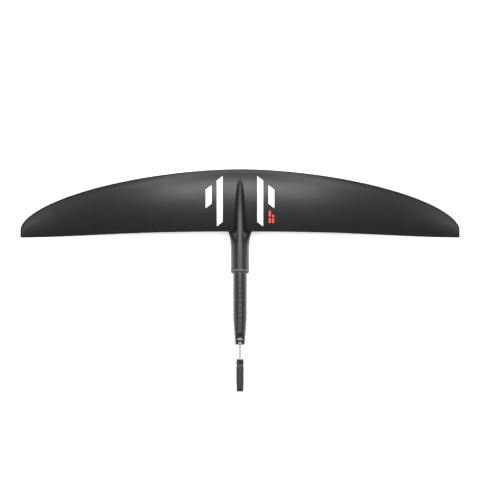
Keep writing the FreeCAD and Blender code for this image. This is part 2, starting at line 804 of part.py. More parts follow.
NODES = [
    "wing_upper_skin", "wing_lower_skin", "spar_cap_upper", "spar_cap_lower", "shear_web",
    "core_front_left", "core_front_right", "core_rear_left", "core_rear_right",
    "root_block_front", "root_block_rear", "fuselage_upper_shell", "fuselage_lower_shell",
    "spine_core", "end_gasket", "tenon", "tenon_dowels", "clevis_pin", "pin_plugs",
    "cable_terminal", "terminal_bush", "wire_rope", "cable_barrel", "anchor_body", "threaded_insert",
]

doc.recompute()
for item in doc.Objects:
    if "Invalid" in item.State or "Error" in item.State:
        raise RuntimeError(f"{item.Label} failed: {item.State}")

os.makedirs("parts", exist_ok=True)
for name in NODES:
    shape = doc.getObject(name).Shape
    if shape.isNull() or not shape.isValid() or not shape.Solids:
        raise RuntimeError(f"{name} has no valid solid")
    shape.exportStep(f"parts/{name}.step")
    print(f"{name}: {len(shape.Solids)} solid(s), {shape.Volume / 1000:.2f} cm3")
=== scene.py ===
"""Hydrofoil front wing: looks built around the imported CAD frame. Laid out as an add-on, run as a script."""

import math

import bmesh
import bpy
from mathutils import Matrix, Vector


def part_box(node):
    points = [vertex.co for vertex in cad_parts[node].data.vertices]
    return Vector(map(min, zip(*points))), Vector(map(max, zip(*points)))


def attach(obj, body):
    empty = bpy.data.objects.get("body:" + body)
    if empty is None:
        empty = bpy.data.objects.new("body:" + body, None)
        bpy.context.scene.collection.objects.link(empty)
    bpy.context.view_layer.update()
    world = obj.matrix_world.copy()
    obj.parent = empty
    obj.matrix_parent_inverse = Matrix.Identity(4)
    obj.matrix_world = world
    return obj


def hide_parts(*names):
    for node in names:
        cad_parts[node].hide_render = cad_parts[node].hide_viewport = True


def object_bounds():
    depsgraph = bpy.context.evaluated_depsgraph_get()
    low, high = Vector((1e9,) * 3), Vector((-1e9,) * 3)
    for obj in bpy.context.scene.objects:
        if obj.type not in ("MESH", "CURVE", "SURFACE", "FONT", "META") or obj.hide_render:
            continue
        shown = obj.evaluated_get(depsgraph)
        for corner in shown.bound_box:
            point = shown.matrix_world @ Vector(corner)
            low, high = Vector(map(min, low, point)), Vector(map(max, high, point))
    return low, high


bl_info = {
    "name": "Hydrofoil front wing",
    "version": (1, 0, 0),
    "blender": (4, 5, 0),
    "location": "View3D > Sidebar > Front wing",
    "description": "Laminate, markings, tenon, draw rope and anchor of a hydrofoil front wing",
    "category": "Object",
}

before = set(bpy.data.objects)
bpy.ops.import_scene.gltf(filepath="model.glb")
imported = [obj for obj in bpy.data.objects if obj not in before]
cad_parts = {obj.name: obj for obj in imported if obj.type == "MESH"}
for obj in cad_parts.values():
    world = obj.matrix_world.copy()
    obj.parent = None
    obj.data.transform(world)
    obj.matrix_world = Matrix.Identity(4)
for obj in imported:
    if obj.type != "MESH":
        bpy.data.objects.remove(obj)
cad_low, cad_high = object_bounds()

# -------------------------------------------------------------------------------------------------
# Places read from the frame, in metres. +X is starboard, +Y forward and +Z up.
# -------------------------------------------------------------------------------------------------

MM = 0.001
WING_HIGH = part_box("wing_upper_skin")[1]
TENON_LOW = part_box("tenon")[0]
GASKET_LOW, GASKET_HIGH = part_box("end_gasket")
PIN_LOW, PIN_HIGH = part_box("clevis_pin")
TERMINAL_LOW, TERMINAL_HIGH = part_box("cable_terminal")
BUSH_LOW, BUSH_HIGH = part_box("terminal_bush")
BARREL_LOW, BARREL_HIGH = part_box("cable_barrel")
ANCHOR_LOW, ANCHOR_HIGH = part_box("anchor_body")
INSERT_LOW, INSERT_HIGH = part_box("threaded_insert")

HALF_SPAN = WING_HIGH.x
NOSE = WING_HIGH.y
TAIL = 91 * MM                       # trailing edge on the centreline
SWEEP = 136 * MM
TIP_CHORD = 18.4 * MM
TIP_DROOP = 61 * MM
NOSE_HEIGHT = -10 * MM
INCIDENCE = math.radians(3.2)
CHORD = NOSE - TAIL
EDGE_THICKNESS = 0.9 * MM
ROOT_THICKNESS = 0.12                # shares of the chord
TIP_THICKNESS = 0.10
CAMBER = 0.12
TIP_ROUND = 1.6 * MM                 # length over which the tip's edge is rounded off

STUB_HALF = 20.6 * MM
STUB_TOP = 18 * MM
STUB_WAIST = -15 * MM
STUB_BOTTOM = -24 * MM
FLARE = 6.2 * MM
FLARE_START = 47 * MM
WIDE = STUB_HALF + FLARE
SPINE_POINT = 215 * MM               # where the ridge runs out into the wing
RIDGE_HEIGHT = 34.7 * MM             # ridge above the trailing edge
KEEL_DEPTH = 2.9 * MM
KEEL_LENGTH = 45 * MM
CROWN = 0.14                         # shares of the ridge's half width
FOOT = 0.66
ARCH_POWER = 2.6
SEAT_TAN = math.tan(math.radians(12))
GASKET_THICKNESS = 3.2 * MM
GASKET_INSET = 0.4 * MM

TENON_HALF = 15.3 * MM
TENON_TOP = 12.5 * MM
TENON_WAIST = -10 * MM
TENON_BOTTOM = -17.5 * MM
TENON_ROOT = 88 * MM
TAPER_START = -98 * MM
TAPER_SIDE = 4.8 * MM
TAPER_HEIGHT = 1.5 * MM
TENON_END = TENON_LOW.y


# -------------------------------------------------------------------------------------------------
# What a user would change
# -------------------------------------------------------------------------------------------------

def colour(hex_text):
    """An sRGB hex value as linear red, green, blue and alpha."""
    parts = [int(hex_text[i:i + 2], 16) / 255 for i in (1, 3, 5)]
    return [p / 12.92 if p <= 0.04045 else ((p + 0.055) / 1.055) ** 2.4 for p in parts] + [1.0]


def length_property(name, description, default):
    return bpy.props.FloatProperty(name=name, description=description, default=default,
                                   unit="LENGTH", subtype="DISTANCE", precision=5)


def colour_property(name, description, hex_text):
    return bpy.props.FloatVectorProperty(name=name, description=description, size=4, min=0, max=1,
                                         default=colour(hex_text), subtype="COLOR")


class FrontWingSizes(bpy.types.PropertyGroup):
    """Sizes of the details that the CAD frame leaves open."""

    stripe_width: length_property("Stripe width", "Width of each white stripe", 13.0 * MM)
    stripe_lean: length_property("Stripe lean", "How far a stripe's ends run back across it", 10 * MM)
    film: length_property("Film", "Height of the painted markings", 0.07 * MM)
    rail_rise: length_property("Rail rise", "Depth of the grooves beside the tenon's rail", 3.0 * MM)
    pad_rise: length_property("Pad rise", "Height of the pads on the tenon's rail", 0.45 * MM)
    pad_pitch: length_property("Pad pitch", "Distance between the pads", 11.2 * MM)
    rope_lay: length_property("Rope lay", "Length in which a strand goes once round", 16 * MM)
    thread_pitch: length_property("Thread pitch", "Pitch of the thread in the insert", 1.25 * MM)
    bevel: length_property("Edge bevel", "Broken edges of the machined pieces", 0.45 * MM)
    camera_height: length_property("Camera height", "Camera above the wing", 6.0)
    view_width: length_property("View width", "Width seen at the wing", 1080 * MM)


class FrontWingColours(bpy.types.PropertyGroup):
    """Colours of the finishes."""

    laminate: colour_property("Laminate", "Carbon laminate under its clear coat", "#161619")
    stripe: colour_property("Stripe", "White markings", "#fbfbfb")
    accent: colour_property("Accent", "Orange markings", "#e4461c")
    tenon: colour_property("Tenon", "Moulded black tenon", "#2a2a2b")
    gasket: colour_property("Gasket", "Rubber seat gasket", "#5c6468")
    steel: colour_property("Steel", "Stainless steel, dull", "#6a6a6a")
    anchor: colour_property("Anchor", "Anodised anchor", "#28282a")
    floor: colour_property("Floor", "Studio floor", "#f4f4f4")


# -------------------------------------------------------------------------------------------------
# Materials
# -------------------------------------------------------------------------------------------------

# Sockets of a Mix node that mixes colours, and what a Wave node multiplies its coordinates by.
MIX_FIRST, MIX_SECOND, MIX_RESULT = 6, 7, 2
WAVE_FACTOR = 20


def add_node(tree, kind, links=None, **settings):
    """A node with its settings; links maps its inputs to other nodes' outputs."""
    node = tree.nodes.new(kind)
    for key, setting in settings.items():
        if hasattr(node, key):
            setattr(node, key, setting)
        else:
            node.inputs[key.replace("_", " ")].default_value = setting
    for key, socket in (links or {}).items():
        tree.links.new(socket, node.inputs[key])
    return node


def new_material(name, **settings):
    """A material with a Principled shader, its tree, its shader and its Object coordinates."""
    material = bpy.data.materials.new(name)
    material.use_nodes = True
    tree = material.node_tree
    shader = tree.nodes["Principled BSDF"]
    for key, setting in settings.items():
        shader.inputs[key.replace("_", " ")].default_value = setting
    place = add_node(tree, "ShaderNodeTexCoord").outputs["Object"]
    return material, tree, shader, place


def mottle(tree, place, scale, dark, light):
    """Two colours mixed by noise, and the noise; scale is in cells per metre."""
    noise = add_node(tree, "ShaderNodeTexNoise", {"Vector": place}, Scale=scale, Detail=4.0)
    mix = add_node(tree, "ShaderNodeMix", {"Factor": noise.outputs["Fac"]}, data_type="RGBA")
    mix.inputs[MIX_FIRST].default_value = dark
    mix.inputs[MIX_SECOND].default_value = light
    return mix.outputs[MIX_RESULT], noise.outputs["Fac"]


def shade(base, factor):
    """A colour made darker or lighter."""
    return [min(c * factor, 1.0) for c in base[:3]] + [1.0]


def relief(tree, shader, height, depth, strength=0.4):
    """Bump of a real depth in metres."""
    bump = add_node(tree, "ShaderNodeBump", {"Height": height}, Strength=strength, Distance=depth)
    tree.links.new(bump.outputs["Normal"], shader.inputs["Normal"])
    return bump


def ranged(tree, value, low, high):
    """Noise between 0.3 and 0.7 spread over a range."""
    spread = add_node(tree, "ShaderNodeMapRange", {"Value": value}, From_Min=0.3, From_Max=0.7,
                      To_Min=low, To_Max=high)
    return spread.outputs["Result"]


def carbon_laminate(base):
    # Carbon cloth wetted out in epoxy, flatted and clear-coated: near black, with a broad satin sheen,
    # a faint check of 2 mm tows laid at 45 degrees under the coat and a little unevenness in the polish.
    # The specular level is set under that of epoxy, to keep the sheen low.
    material, tree, shader, place = new_material(
        "carbon laminate, satin clear coat", Roughness=0.36, IOR=1.5, Specular_IOR_Level=0.3,
        Coat_Weight=0.05, Coat_Roughness=0.22)
    tow = 2 * MM
    turned = add_node(tree, "ShaderNodeMapping", {"Vector": place})
    turned.inputs["Rotation"].default_value = (0, 0, math.radians(45))
    waves = [
        add_node(tree, "ShaderNodeTexWave", {"Vector": turned.outputs["Vector"]}, bands_direction=axis,
                 Scale=math.pi / (tow * WAVE_FACTOR), Distortion=0.0)
        for axis in ("X", "Y")
    ]
    check = add_node(tree, "ShaderNodeMath", {0: waves[0].outputs["Fac"], 1: waves[1].outputs["Fac"]},
                     operation="MULTIPLY")
    tone, cloud = mottle(tree, place, 1 / (22 * MM), shade(base, 0.9), shade(base, 1.08))
    weave = add_node(tree, "ShaderNodeMix", {0: check.outputs[0], MIX_FIRST: tone}, data_type="RGBA")
    weave.inputs[MIX_SECOND].default_value = shade(base, 1.3)
    tree.links.new(weave.outputs[MIX_RESULT], shader.inputs["Base Color"])
    tree.links.new(ranged(tree, cloud, 0.33, 0.39), shader.inputs["Roughness"])
    orange_peel = add_node(tree, "ShaderNodeTexNoise", {"Vector": place}, Scale=1 / (6 * MM), Detail=2.0)
    relief(tree, shader, orange_peel.outputs["Fac"], 0.02 * MM, 0.25)
    return material


def painted_film(name, base, rough):
    # Two-pack polyurethane over a mask, under the same satin coat: flat colour with a faint mottle.
    material, tree, shader, place = new_material(name, Roughness=rough, IOR=1.5, Coat_Weight=0.2,
                                                 Coat_Roughness=0.3)
    tone, cloud = mottle(tree, place, 1 / (9 * MM), shade(base, 0.97), base)
    tree.links.new(tone, shader.inputs["Base Color"])
    relief(tree, shader, cloud, 0.01 * MM, 0.2)
    return material


def moulded(name, base, rough, grain, depth):
    # Moulded or pressed surface: even colour broken by the fine grain of the mould.
    material, tree, shader, place = new_material(name, Roughness=rough, IOR=1.5,
                                                 Specular_IOR_Level=0.33)
    tone, cloud = mottle(tree, place, 1 / (14 * MM), shade(base, 0.88), shade(base, 1.12))
    tree.links.new(tone, shader.inputs["Base Color"])
    tree.links.new(ranged(tree, cloud, rough - 0.05, rough + 0.06), shader.inputs["Roughness"])
    fine = add_node(tree, "ShaderNodeTexNoise", {"Vector": place}, Scale=1 / grain, Detail=3.0)
    relief(tree, shader, fine.outputs["Fac"], depth, 0.35)
    return material


def turned_metal(name, base, rough, stretch):
    # Bare metal with fine tool marks: the marks run round the axis that the mapping stretches across.
    material, tree, shader, place = new_material(name, Metallic=1.0, Roughness=rough)
    marks = add_node(tree, "ShaderNodeMapping", {"Vector": place})
    marks.inputs["Scale"].default_value = stretch
    lines = add_node(tree, "ShaderNodeTexNoise", {"Vector": marks.outputs["Vector"]},
                     Scale=1 / (0.6 * MM), Detail=3.0)
    tone, cloud = mottle(tree, place, 1 / (5 * MM), shade(base, 0.86), shade(base, 1.05))
    tree.links.new(tone, shader.inputs["Base Color"])
    tree.links.new(ranged(tree, lines.outputs["Fac"], rough - 0.07, rough + 0.1),
                   shader.inputs["Roughness"])
    relief(tree, shader, lines.outputs["Fac"], 0.02 * MM, 0.3)
    return material


def closed_foam(base):
    # Closed-cell foam board, cut: pale, matt, with open cells of about 0.8 mm.
    material, tree, shader, place = new_material("closed-cell foam core", Roughness=0.9)
    cells = add_node(tree, "ShaderNodeTexVoronoi", {"Vector": place}, Scale=1 / (0.8 * MM))
    tone, _ = mottle(tree, place, 1 / (10 * MM), shade(base, 0.9), base)
    tree.links.new(tone, shader.inputs["Base Color"])
    relief(tree, shader, cells.outputs["Distance"], 0.2 * MM, 0.6)
    return material


def give(piece, material):
    """Show a piece in one material."""
    piece.data.materials.clear()
    piece.data.materials.append(material)


# -------------------------------------------------------------------------------------------------
# Mesh helpers
# -------------------------------------------------------------------------------------------------

SHARP = math.radians(32)
MERGE = 0.004 * MM


def placed_grid(bm, columns, rows, place):
    """A grid whose points are placed by a function of two shares from 0 to 1."""
    made = bmesh.ops.create_grid(bm, x_segments=columns, y_segments=rows, size=1)["verts"]
    for vert in made:
        vert.co = place((vert.co.x + 1) / 2, (vert.co.y + 1) / 2)
    return made


def turned_profile(bm, profile, centre, axis, steps=64):
    """A solid turned about an axis through a centre, from (distance along, radius) pairs."""
    axis = Vector(axis).normalized()
    out = axis.orthogonal().normalized()
    verts = [bm.verts.new(Vector(centre) + axis * along + out * radius) for along, radius in profile]
    edges = [bm.edges.new(pair) for pair in zip(verts, verts[1:])]
    bmesh.ops.spin(bm, geom=verts + edges, cent=centre, axis=axis, angle=math.tau, steps=steps,
                   use_merge=True)
    bmesh.ops.remove_doubles(bm, verts=bm.verts, dist=MERGE)


def box_between(bm, low, high):
    """A box from its lowest to its highest corner."""
    low, high = Vector(low), Vector(high)
    matrix = Matrix.Translation((low + high) / 2) @ Matrix.Diagonal((*(high - low), 1))
    return bmesh.ops.create_cube(bm, size=1, matrix=matrix)["verts"]


def finished(bm, name):
    """Merge doubles, turn the faces outwards, mark sharp edges and make the object."""
    bmesh.ops.remove_doubles(bm, verts=bm.verts, dist=MERGE)
    bmesh.ops.dissolve_degenerate(bm, edges=bm.edges, dist=MERGE / 4)
    bmesh.ops.recalc_face_normals(bm, faces=bm.faces)
    bm.normal_update()
    for face in bm.faces:
        face.smooth = True
    for edge in bm.edges:
        edge.smooth = len(edge.link_faces) == 2 and edge.calc_face_angle(0) < SHARP
    mesh = bpy.data.meshes.new(name)
    bm.to_mesh(mesh)
    bm.free()
    piece = bpy.data.objects.new(name, mesh)
    bpy.context.scene.collection.objects.link(piece)
    return piece


def carved(piece, *cutters):
    """Cut closed meshes out of a piece, with sharp edges marked again."""
    for cutter in cutters:
        cut = piece.modifiers.new("cut", "BOOLEAN")
        cut.operation = "DIFFERENCE"
        cut.solver = "EXACT"
        cut.object = cutter
    graph = bpy.context.evaluated_depsgraph_get()
    mesh = bpy.data.meshes.new_from_object(piece.evaluated_get(graph))
    name = piece.name
    for old in (piece, *cutters):
        bpy.data.objects.remove(old)
    bm = bmesh.new()
    bm.from_mesh(mesh)
    return finished(bm, name)


def bevelled(piece, width, segments=3):
    bevel = piece.modifiers.new("broken edges", "BEVEL")
    bevel.width = width
    bevel.segments = segments
    bevel.limit_method = "ANGLE"
    bevel.angle_limit = math.radians(38)
    bevel.harden_normals = True
    return piece


def shown(piece, body, material, slot, *nodes):
    """Ride on a body, take a finish and stand for the CAD nodes."""
    give(piece, material)
    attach(piece, body)
    if nodes:
        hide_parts(*nodes)
    return piece


# -------------------------------------------------------------------------------------------------
# The wing's surface
# -------------------------------------------------------------------------------------------------

def falling(u, first, second):
    """0 at the centre and 1 at the tip, along a curve of two powers."""
    return 1 - (1 - u ** first) ** second


def leading_edge(u):
    """Y of the leading edge at a share of the half span."""
    return NOSE - SWEEP * falling(u, 1.75, 0.57)


def trailing_edge(u):
    """Y of the trailing edge at a share of the half span."""
    return TAIL - (TAIL - (NOSE - SWEEP - TIP_CHORD)) * falling(u, 2.6, 2)


def wing_height(x, share, side):
    """Height of the bare wing at a share of the chord: side is +1 on top and -1 below."""
    u = min(abs(x) / HALF_SPAN, 1)
    chord = leading_edge(u) - trailing_edge(u)
    thickness = chord * (ROOT_THICKNESS * (1 - u) + TIP_THICKNESS * u)
    form = 0.2969 * math.sqrt(share) - 0.1260 * share - 0.3516 * share ** 2
    form += 0.2843 * share ** 3 - 0.1036 * share ** 4
    half = 5 * thickness * form + EDGE_THICKNESS / 2 * share
    run = max((abs(x) - HALF_SPAN + TIP_ROUND) / TIP_ROUND, 0)
    half *= math.sqrt(max(1 - run ** 2, 0))
    droop = TIP_DROOP * falling(u, 2.64, 2.5)
    middle = NOSE_HEIGHT - droop - chord * share * math.tan(INCIDENCE)
    return middle + CAMBER * chord * share * (1 - share) + side * half


def bell(share):
    """Section of the ridge over half its width: a flat crown, steep sides and a soft foot."""
    run = min(max((abs(share) - CROWN) / (FOOT - CROWN), 0), 1)
    return (1 - run ** 2) ** 2


def arch(share):
    """Section of the stub and the tenon over half their width: flatter on top than an ellipse."""
    return math.sqrt(max(1 - abs(share) ** ARCH_POWER, 0))


def surface_point(x, share, side):
    """The finished outside over the wing: the bare wing, its ridge above and its keel below."""
    u = min(abs(x) / HALF_SPAN, 1)
    y = leading_edge(u) - (leading_edge(u) - trailing_edge(u)) * share
    z = wing_height(x, share, side)
    if side > 0:
        left = max(1 - (y - TAIL) / (SPINE_POINT - TAIL), 0)
        reach = WIDE * left ** 0.55
        if reach > abs(x):
            z += RIDGE_HEIGHT * left ** 1.2 * bell(abs(x) / reach)
    else:
        left = max(1 - (y - TAIL) / KEEL_LENGTH, 0)
        if abs(x) < WIDE:
            z -= KEEL_DEPTH * left ** 2 * bell(abs(x) / WIDE)
    return Vector((x, y, z))


def top_point(x, y, lift):
    """A point of the upper surface above a place in plan."""
    u = abs(x) / HALF_SPAN
    share = (leading_edge(u) - y) / (leading_edge(u) - trailing_edge(u))
    return surface_point(x, share, 1) + Vector((0, 0, lift))


def stub_point(across, side, run):
    """The fuselage stub behind the trailing edge; run goes from 0 there to 1 at the gasket."""
    y = TAIL * (1 - run)
    flared = max((y - FLARE_START) / (TAIL - FLARE_START), 0) ** 3
    half = STUB_HALF + FLARE * flared
    round_part = math.sqrt(max(1 - across ** 2, 0))
    tail_height = wing_height(0, 1, side)
    if side > 0:
        egg = STUB_WAIST + (STUB_TOP - STUB_WAIST) * arch(across)
        foot = tail_height + RIDGE_HEIGHT * bell(across)
    else:
        egg = STUB_WAIST - (STUB_WAIST - STUB_BOTTOM) * round_part
        foot = tail_height - KEEL_DEPTH * bell(across)
    z = egg * (1 - flared) + foot * flared
    return Vector((half * across, y + (GASKET_THICKNESS + z * SEAT_TAN) * run, z))


def tenon_outline(across, side, y, grow=0.0):
    """The tenon's outline across the Y axis."""
    run = max((TAPER_START - y) / (TAPER_START - TENON_END), 0) ** 1.4
    half = TENON_HALF - TAPER_SIDE * run + grow
    round_part = math.sqrt(max(1 - across ** 2, 0))
    lift = TAPER_HEIGHT * run
    if side > 0:
        z = TENON_WAIST + (TENON_TOP - lift + grow - TENON_WAIST) * arch(across)
    else:
        z = TENON_WAIST - (TENON_WAIST - TENON_BOTTOM - lift + grow) * round_part
    return half * across, z


INNER_COLUMNS = 36
OUTER_COLUMNS = 72
CHORD_ROWS = 64
STUB_ROWS = 40


def column_place(k):
    """Place along X of a column counted from the centre, close together at the stub and the tip."""
    if abs(k) <= INNER_COLUMNS:
        return WIDE * math.sin(k / INNER_COLUMNS * math.pi / 2)
    share = (1 - math.cos((abs(k) - INNER_COLUMNS) / OUTER_COLUMNS * math.pi)) / 2
    return math.copysign(WIDE + (HALF_SPAN - WIDE) * share, k)


def wing_grid_point(along, around):
    """The wing's outside from two shares: tip to tip, and round the section from tail to tail."""
    k = round((along * 2 - 1) * (INNER_COLUMNS + OUTER_COLUMNS))
    turn = around * 2 - 1
    share = (1 - math.cos(math.pi * abs(turn))) / 2
    return surface_point(column_place(k), share, 1 if turn >= 0 else -1)


def stub_grid_point(side):
    """The stub's outside on one side, from shares across it and back along it."""
    def place(along, run):
        k = round((along * 2 - 1) * INNER_COLUMNS)
        return stub_point(math.sin(k / INNER_COLUMNS * math.pi / 2), side, run)
    return place


SOCKET_GAP = 0.15 * MM
SOCKET_DEPTH = 9 * MM


def socket_lip(bm):
    """Turn the stub's open rear end inwards to the tenon, and close it inside."""
    rim = [edge for edge in bm.edges if edge.is_boundary and max(v.co.y for v in edge.verts) < TAIL / 3]
    for inwards in (True, False):
        made = bmesh.ops.extrude_edge_only(bm, edges=rim)["geom"]
        for vert in (item for item in made if isinstance(item, bmesh.types.BMVert)):
            if inwards:
                side = 1 if vert.co.z >= STUB_WAIST else -1
                across = max(min(vert.co.x / STUB_HALF, 1), -1)
                x, z = tenon_outline(across, side, vert.co.y, SOCKET_GAP)
                vert.co = (x, GASKET_THICKNESS + z * SEAT_TAN, z)
            else:
                vert.co.y += SOCKET_DEPTH
        rim = [item for item in made if isinstance(item, bmesh.types.BMEdge) and item.is_boundary]
    bmesh.ops.holes_fill(bm, edges=rim, sides=0)


# -------------------------------------------------------------------------------------------------
# Operators
# -------------------------------------------------------------------------------------------------

def sizes():
    """The scene's sizes."""
    return bpy.context.scene.front_wing_sizes


def colours():
    """The scene's colours."""
    return bpy.context.scene.front_wing_colours


def aimed(item, place, target):
    """Put a lamp at a place and turn it to a target."""
    item.location = place
    item.rotation_mode = "QUATERNION"
    item.rotation_quaternion = (Vector(target) - Vector(place)).to_track_quat("-Z", "Y")


def soft_box(name, place, target, wide, tall, watts):
    """A rectangular area light."""
    lamp = bpy.data.lights.new(name, "AREA")
    lamp.shape = "RECTANGLE"
    lamp.size = wide
    lamp.size_y = tall
    lamp.energy = watts
    item = bpy.data.objects.new(name, lamp)
    bpy.context.scene.collection.objects.link(item)
    aimed(item, place, target)
    return item


class FRONTWING_OT_stage(bpy.types.Operator):
    """Make the camera, the soft studio lights and the pale floor"""

    bl_idname = "front_wing.stage"
    bl_label = "Stage"

    def execute(self, context):
        scene = context.scene
        view = bpy.data.cameras.new("camera")
        camera = bpy.data.objects.new("camera", view)
        scene.collection.objects.link(camera)
        scene.camera = camera
        middle = Vector((0, 72 * MM, 0))
        view.sensor_width = 36
        view.lens = view.sensor_width * sizes().camera_height / sizes().view_width
        view.clip_end = 100
        camera.location = middle + Vector((0, 0, sizes().camera_height))

        bm = bmesh.new()
        bmesh.ops.create_grid(bm, x_segments=8, y_segments=8, size=9)
        bmesh.ops.translate(bm, verts=bm.verts, vec=(0, 0, cad_low.z - 0.5 * MM))
        floor = finished(bm, "floor")
        # Light table: a sheet of opal acrylic, lit softly from below.
        material, tree, shader, place = new_material(
            "opal acrylic light table", Roughness=0.9, Emission_Color=colours().floor,
            Emission_Strength=0.4)
        tone, _ = mottle(tree, place, 3.0, shade(colours().floor, 0.985), colours().floor)
        tree.links.new(tone, shader.inputs["Base Color"])
        give(floor, material)

        target = (0, 100 * MM, 0)
        soft_box("top softbox", (0, 0.24, 1.7), target, 1.5, 0.6, 30)
        soft_box("front softbox", (0, 2.6, 1.9), target, 2.6, 0.7, 44)
        for side in (-1, 1):
            soft_box("wing softbox", (side * 0.75, 1.0, 1.6), target, 0.9, 0.6, 12)
            soft_box("side softbox", (side * 3.2, -0.4, 1.0), target, 1.2, 0.8, 18)
        world = bpy.data.worlds.new("studio")
        scene.world = world
        world.use_nodes = True
        world.node_tree.nodes["Background"].inputs["Color"].default_value = colour("#ffffff")
        world.node_tree.nodes["Background"].inputs["Strength"].default_value = 0.2
        scene.view_settings.view_transform = "Standard"
        return {"FINISHED"}


# The rope's route: straight from inside the terminal to the cross barrel, as it is drawn tight.
ROPE_ROUTE = [(0, -158 * MM, 0), (0, -211 * MM, 0)]
ROPE_DIAMETER = 3.2 * MM
ROPE_SAMPLES = 96


def route_points(route):
    """Points read from the NURBS spline whose control points are the route.

    The rope is straight and its route has two points, so the spline is one straight run.
    """
    curve = bpy.data.curves.new("route", "CURVE")
    curve.dimensions = "3D"
    spline = curve.splines.new("NURBS")
    spline.points.add(len(route) - 1)
    for point, place in zip(spline.points, route):
        point.co = (*place, 1)
    spline.order_u = 3
    spline.use_endpoint_u = True
    spline.resolution_u = ROPE_SAMPLES
    item = bpy.data.objects.new("route", curve)
    mesh = bpy.data.meshes.new_from_object(item)
    points = [vert.co.copy() for vert in mesh.vertices]
    bpy.data.objects.remove(item)
    return points


class FRONTWING_OT_rope(bpy.types.Operator):
    """Lay six strands round a core strand along the rope's route"""

    bl_idname = "front_wing.rope"
    bl_label = "Wire rope"

    def execute(self, context):
        points = route_points(ROPE_ROUTE)
        strand = ROPE_DIAMETER / 6
        sides = 10
        bm = bmesh.new()
        for number in range(7):
            offset = 0 if number == 6 else 2 * strand
            ring = bmesh.ops.create_circle(bm, cap_ends=False, segments=sides, radius=strand)["verts"]
            bmesh.ops.rotate(bm, verts=ring, cent=(0, 0, 0), matrix=Matrix.Rotation(math.pi / 2, 3, "X"))
            edges = list({edge for vert in ring for edge in vert.link_edges})
            start_edges = edges
            travelled = 0.0
            turn = math.tau * number / 6
            last = Vector((0, 0, 0))
            for i, point in enumerate(points):
                if i:
                    travelled += (point - points[i - 1]).length
                    made = bmesh.ops.extrude_edge_only(bm, edges=edges)["geom"]
                    ring = [item for item in made if isinstance(item, bmesh.types.BMVert)]
                    edges = [item for item in made if isinstance(item, bmesh.types.BMEdge)
                             and all(v in ring for v in item.verts)]
                angle = turn + math.tau * travelled / sizes().rope_lay
                centre = point + Vector((math.cos(angle), 0, math.sin(angle))) * offset
                bmesh.ops.translate(bm, verts=ring, vec=centre - last)
                last = centre
            bmesh.ops.holes_fill(bm, edges=start_edges + edges, sides=0)
        rope = finished(bm, "wire_rope_strands")
        # Drawn wire laid into strands: grey, drawn smooth along its length.
        steel = turned_metal("drawn stainless wire", shade(colours().steel, 0.9), 0.42, (1, 12, 1))
        shown(rope, "cable", steel, "rope_steel", "wire_rope")
        return {"FINISHED"}


class FRONTWING_OT_laminate(bpy.types.Operator):
    """Mould the wing and the fuselage stub as one skin, with the ridge faired in"""

    bl_idname = "front_wing.laminate"
    bl_label = "Wing and stub laminate"

    def execute(self, context):
        bm = bmesh.new()
        placed_grid(bm, 2 * (INNER_COLUMNS + OUTER_COLUMNS), 2 * CHORD_ROWS, wing_grid_point)
        for side in (1, -1):
            placed_grid(bm, 2 * INNER_COLUMNS, STUB_ROWS, stub_grid_point(side))
        bmesh.ops.remove_doubles(bm, verts=bm.verts, dist=MERGE)
        for hand in (-1, 1):
            chains = [edge for edge in bm.edges if edge.is_boundary
                      and all(v.co.x * hand > WIDE - MERGE for v in edge.verts)
                      and all(v.co.y > FLARE_START for v in edge.verts)
                      and abs(edge.verts[0].co.x - edge.verts[1].co.x) > MERGE / 100
                      and all(abs(v.co.y - trailing_edge(min(abs(v.co.x) / HALF_SPAN, 1))) < MERGE
                              for v in edge.verts)]
            bmesh.ops.bridge_loops(bm, edges=chains)
        socket_lip(bm)
        skin = finished(bm, "wing_and_stub_laminate")
        shown(skin, "wing", carbon_laminate(colours().laminate), "carbon", "wing_upper_skin",
              "wing_lower_skin", "fuselage_upper_shell", "fuselage_lower_shell")
        return {"FINISHED"}


def marking(name, outline, material, slot):
    """A painted patch on the upper surface; outline gives x and y for two shares."""
    bm = bmesh.new()
    for patch in outline:
        placed_grid(bm, 16, 48, patch)
    piece = finished(bm, name)
    shell = piece.modifiers.new("film", "SOLIDIFY")
    shell.thickness = 2 * sizes().film
    shell.offset = -1
    return shown(piece, "wing", material, slot)


# Millimetres: inner edge from the centre, front and rear corner of that edge.
STRIPES = {"inner": (39.1, 215.6, 113.0), "outer": (64.2, 195.1, 153.9)}
# Millimetres: left edge, width, rear end and front end.
ACCENT_BARS = (
    (64.7, 5.0, 110.6, 121.4), (64.7, 5.0, 124.8, 137.8),
    (72.4, 4.6, 110.6, 120.4), (72.4, 4.6, 123.0, 128.6),
)


class FRONTWING_OT_markings(bpy.types.Operator):
    """Paint the four white stripes and the plain orange bars"""

    bl_idname = "front_wing.markings"
    bl_label = "Markings"

    def execute(self, context):
        size = sizes()
        white = painted_film("white polyurethane paint", colours().stripe, 0.4)
        orange = painted_film("orange polyurethane paint", colours().accent, 0.45)
        for place, (start, front, rear) in STRIPES.items():
            for hand, label in ((-1, "left"), (1, "right")):
                def patch(along, back, start=start, front=front, rear=rear, hand=hand):
                    y = (front + (rear - front) * back) * MM - size.stripe_lean * along
                    return top_point(hand * (start * MM + size.stripe_width * along), y, size.film)
                marking(f"stripe_{place}_{label}", [patch], white, "laminate")
        bars = []
        for left, wide, low, high in ACCENT_BARS:
            def bar(along, back, left=left, wide=wide, low=low, high=high):
                return top_point((left + wide * along) * MM, (low + (high - low) * back) * MM, size.film)
            bars.append(bar)
        marking("accent_bars", bars, orange, "laminate")
        return {"FINISHED"}


def stepped(value, low, high):
    """0 below low and 1 above high, eased between them."""
    share = min(max((value - low) / (high - low), 0), 1)
    return share * share * (3 - 2 * share)


